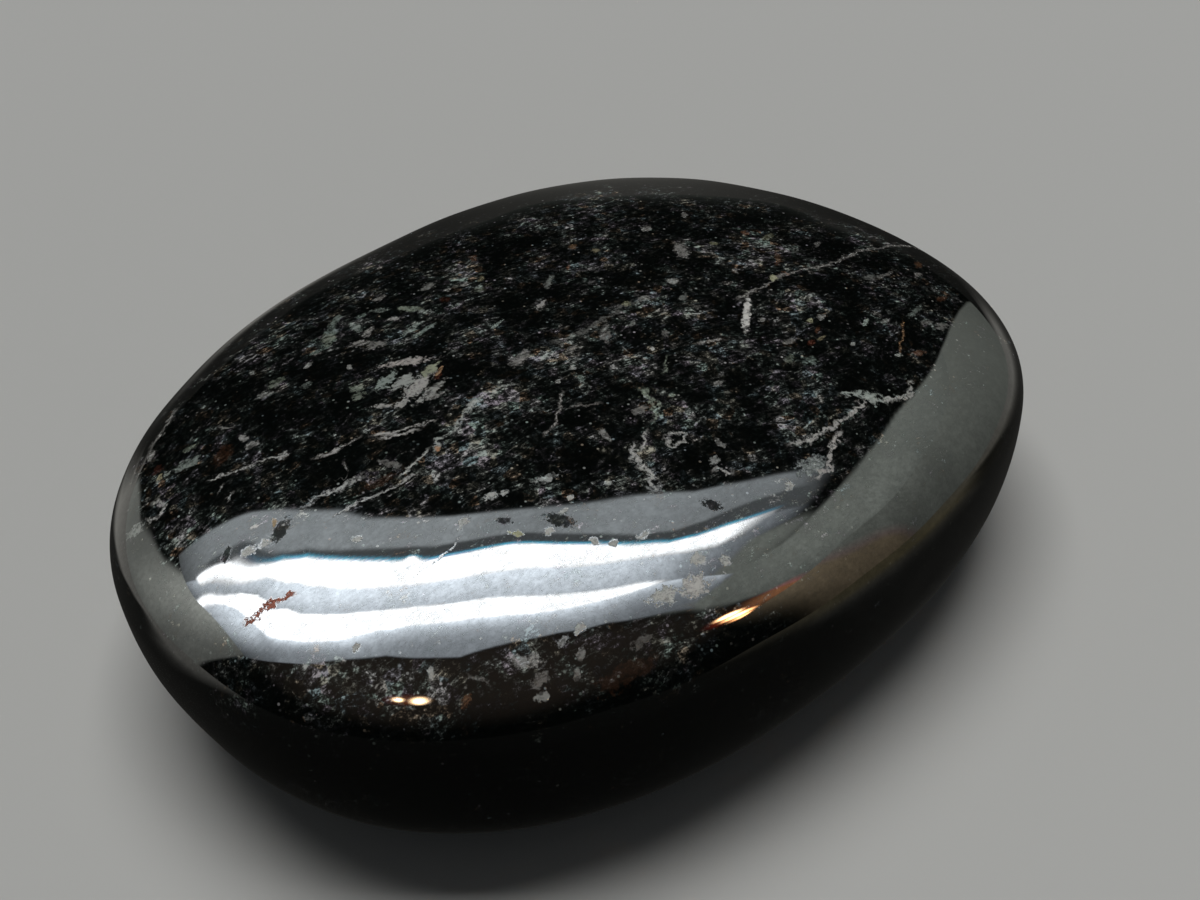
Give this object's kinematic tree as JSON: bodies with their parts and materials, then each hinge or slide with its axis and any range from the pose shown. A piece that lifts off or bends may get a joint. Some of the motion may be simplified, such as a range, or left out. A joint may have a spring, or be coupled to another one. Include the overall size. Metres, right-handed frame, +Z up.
{
  "type": "tumbled stone",
  "caption": "Flat, oval pebble of black nuummite with a tumbled polish, rounded shoulders and a small flat spot to rest on.",
  "frame": {"origin": "bottom centre of the stone's box, on the surface that it rests on", "axes": "+X along the stone's length, towards its broader end; +Z up, through its thickness"},
  "size_m": [0.05, 0.0378, 0.015],
  "materials": {
    "polished_nuummite": "high tumbled polish"
  },
  "bodies": {
    "root": {"stone": "polished_nuummite"}
  },
  "joints": []
}
